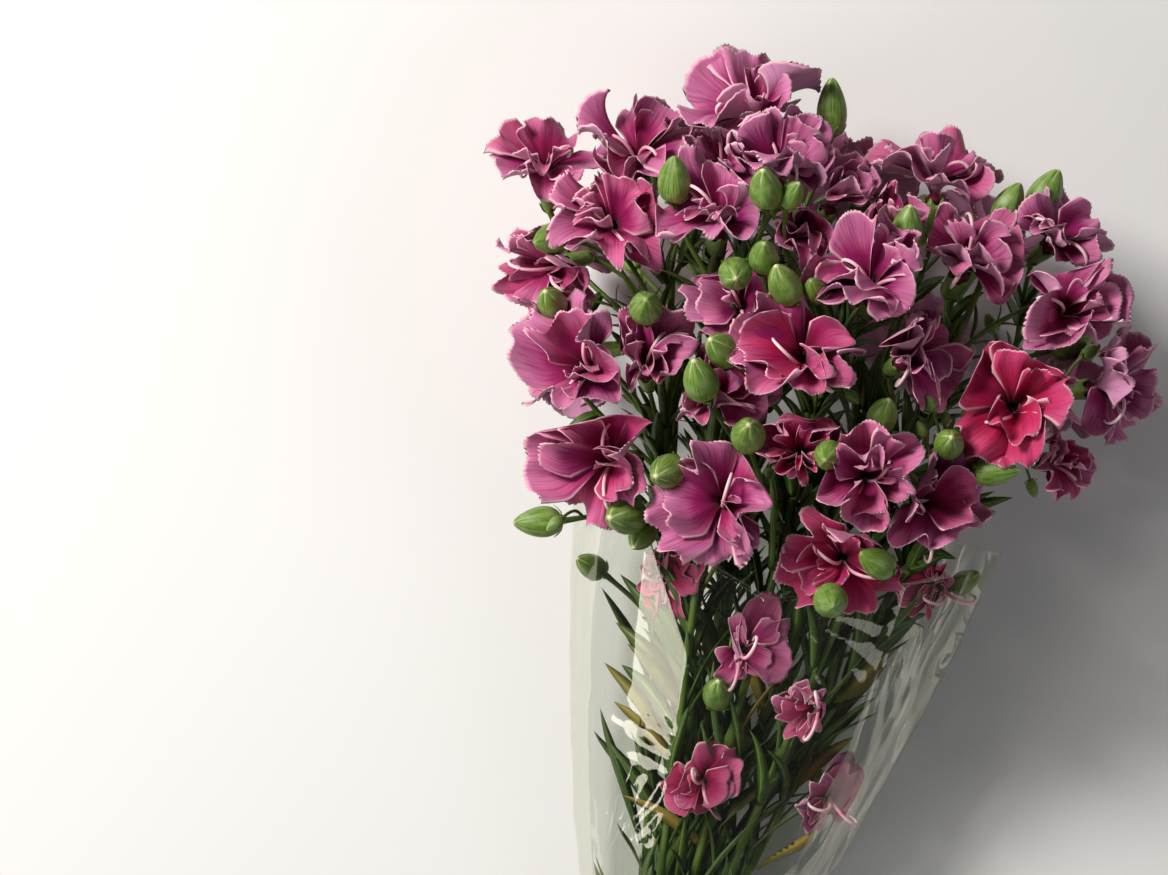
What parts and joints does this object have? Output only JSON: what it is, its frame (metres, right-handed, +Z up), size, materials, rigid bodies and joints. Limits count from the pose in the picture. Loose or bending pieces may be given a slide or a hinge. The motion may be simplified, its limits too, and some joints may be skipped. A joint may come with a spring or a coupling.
{
  "type": "bunch of carnations",
  "caption": "Bunch of cut spray carnations in mauve-pink with green buds, lying down, its stems held by a rubber band inside an open sleeve of clear film.",
  "frame": {"origin": "middle of the flat underside of the film sleeve, on the surface that the bunch lies on", "axes": "+Y along the bunch from the cut ends of the stems to the flowers, +Z up from the surface it lies on, +X to the right as seen from above with the flowers away"},
  "size_m": [0.2898, 0.587, 0.1624],
  "materials": {
    "petals": "soft matte petals",
    "greenery": "waxy matte stems, leaves and buds",
    "film": "clear glossy film",
    "rubber": "plain natural rubber"
  },
  "bodies": {
    "root": {"spray_01": "greenery", "spray_02": "greenery", "spray_03": "greenery", "spray_04": "greenery", "spray_05": "greenery", "spray_06": "greenery", "spray_07": "greenery", "spray_08": "greenery", "spray_09": "greenery", "spray_10": "greenery", "spray_11": "greenery", "spray_12": "greenery", "bloom_01": "petals", "bloom_02": "petals", "bloom_03": "petals", "bloom_04": "petals", "bloom_05": "petals", "bloom_06": "petals", "bloom_07": "petals", "bloom_08": "petals", "bloom_09": "petals", "bloom_10": "petals", "bloom_11": "petals", "bloom_12": "petals", "bloom_13": "petals", "bloom_14": "petals", "bloom_15": "petals", "bloom_16": "petals", "bloom_17": "petals", "bloom_18": "petals", "bloom_19": "petals", "bloom_20": "petals", "bloom_21": "petals", "bloom_22": "petals", "bloom_23": "petals", "bloom_24": "petals", "bloom_25": "petals", "bloom_26": "petals", "bloom_27": "petals", "bloom_28": "petals", "bloom_29": "petals", "bloom_30": "petals", "bloom_31": "petals", "bloom_32": "petals", "bloom_33": "petals", "bloom_34": "petals", "bloom_35": "petals", "bloom_36": "petals", "bloom_37": "petals", "bloom_38": "petals", "bloom_39": "petals", "bloom_40": "petals", "bloom_41": "petals", "bloom_42": "petals", "bloom_43": "petals", "bloom_44": "petals", "bloom_45": "petals", "film_sleeve": "film", "rubber_band": "rubber"}
  },
  "joints": []
}
